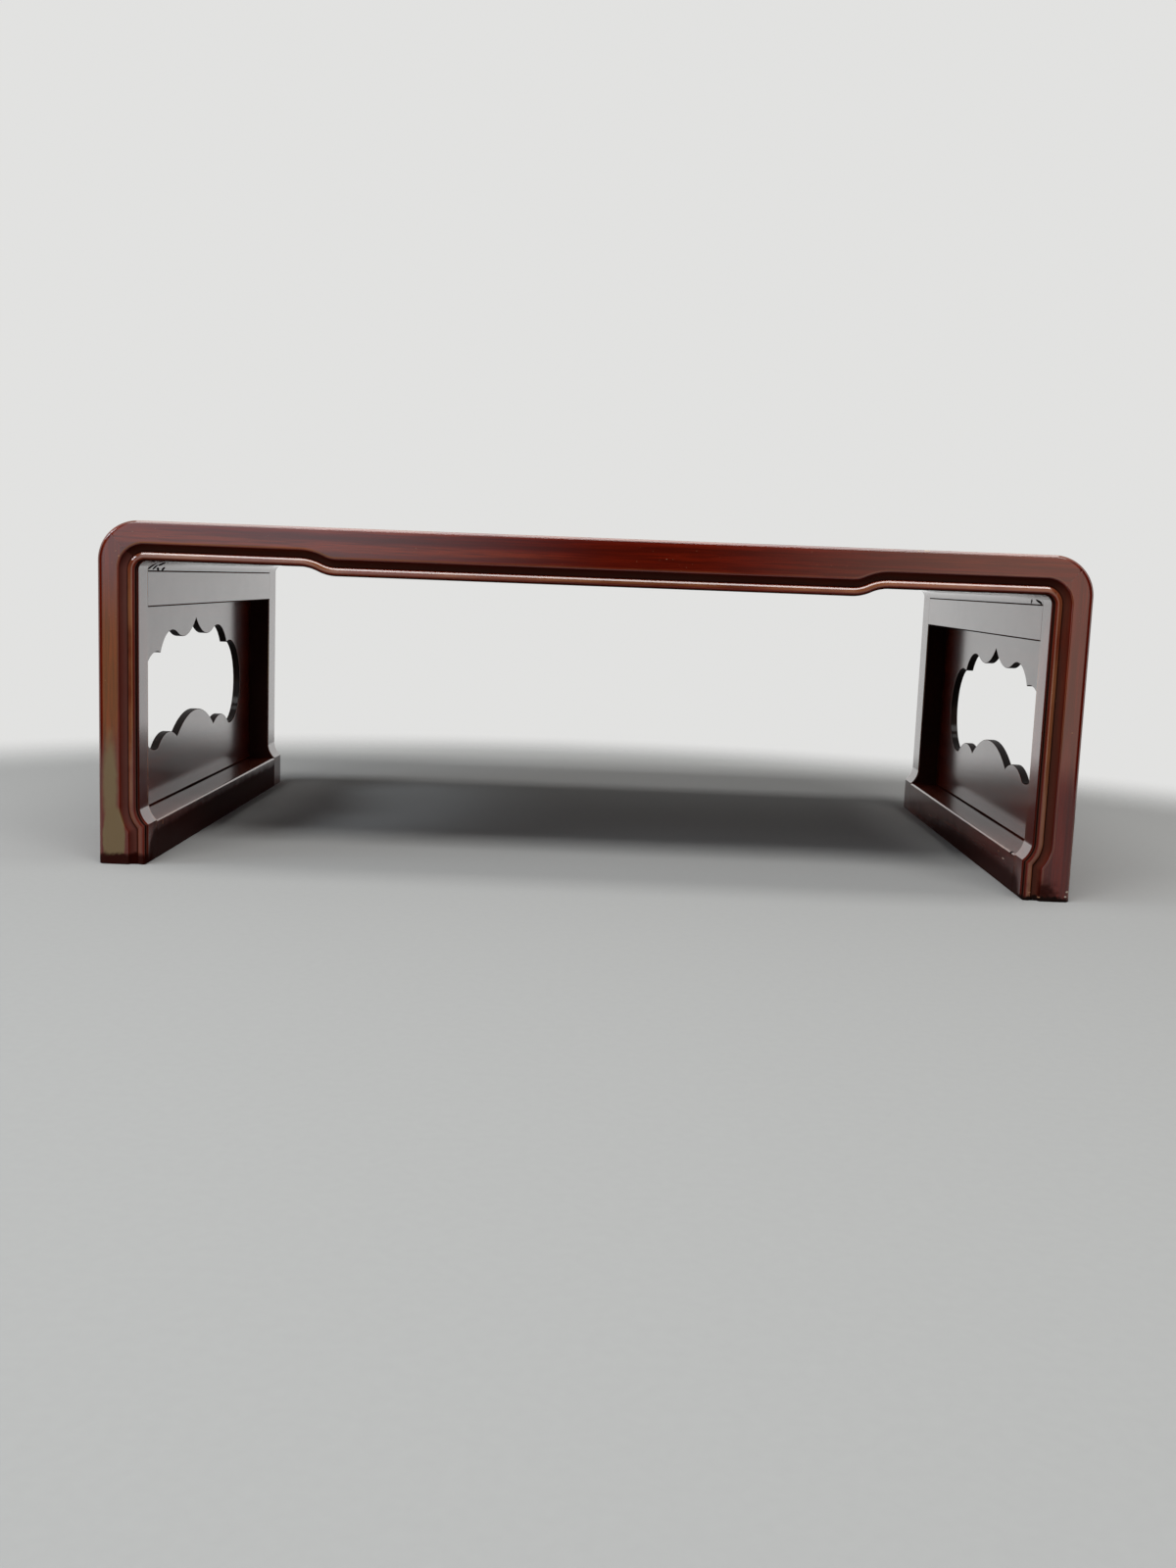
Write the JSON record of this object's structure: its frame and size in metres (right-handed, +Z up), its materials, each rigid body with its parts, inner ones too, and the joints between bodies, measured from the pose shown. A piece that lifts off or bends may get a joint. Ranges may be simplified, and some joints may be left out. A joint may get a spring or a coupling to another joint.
{
  "type": "display table",
  "caption": "Low display table with moulded mitred frames, a boarded top over an ogee apron, rounded ends and panel legs pierced with cusped openings on flared feet.",
  "frame": {"origin": "on the floor under the middle of the table", "axes": "+X along the table's width, to the right seen from the front; +Y to the back; +Z up"},
  "size_m": [0.606, 0.385, 0.213],
  "materials": {
    "frame_wood": "polished dark red-brown lacquer over rosewood",
    "leg_rail_wood": "polished dark lacquer over rosewood",
    "panel_wood": "polished dark lacquer over rosewood",
    "top_wood": "polished dark red-brown lacquer over rosewood",
    "inner_wood": "planed and oiled hardwood"
  },
  "bodies": {
    "root": {"front_rail": "frame_wood", "rear_rail": "frame_wood", "front_left_stile": "frame_wood", "front_right_stile": "frame_wood", "rear_left_stile": "frame_wood", "rear_right_stile": "frame_wood", "left_end_rail": "frame_wood", "right_end_rail": "frame_wood", "left_upper_rail": "leg_rail_wood", "right_upper_rail": "leg_rail_wood", "left_foot_rail": "leg_rail_wood", "right_foot_rail": "leg_rail_wood", "left_leg_panel": "panel_wood", "right_leg_panel": "panel_wood", "top_front_board": "top_wood", "top_middle_board": "top_wood", "top_rear_board": "top_wood", "left_batten": "inner_wood", "right_batten": "inner_wood", "front_left_mitre_spline": "inner_wood", "front_right_mitre_spline": "inner_wood", "rear_left_mitre_spline": "inner_wood", "rear_right_mitre_spline": "inner_wood"}
  },
  "joints": []
}
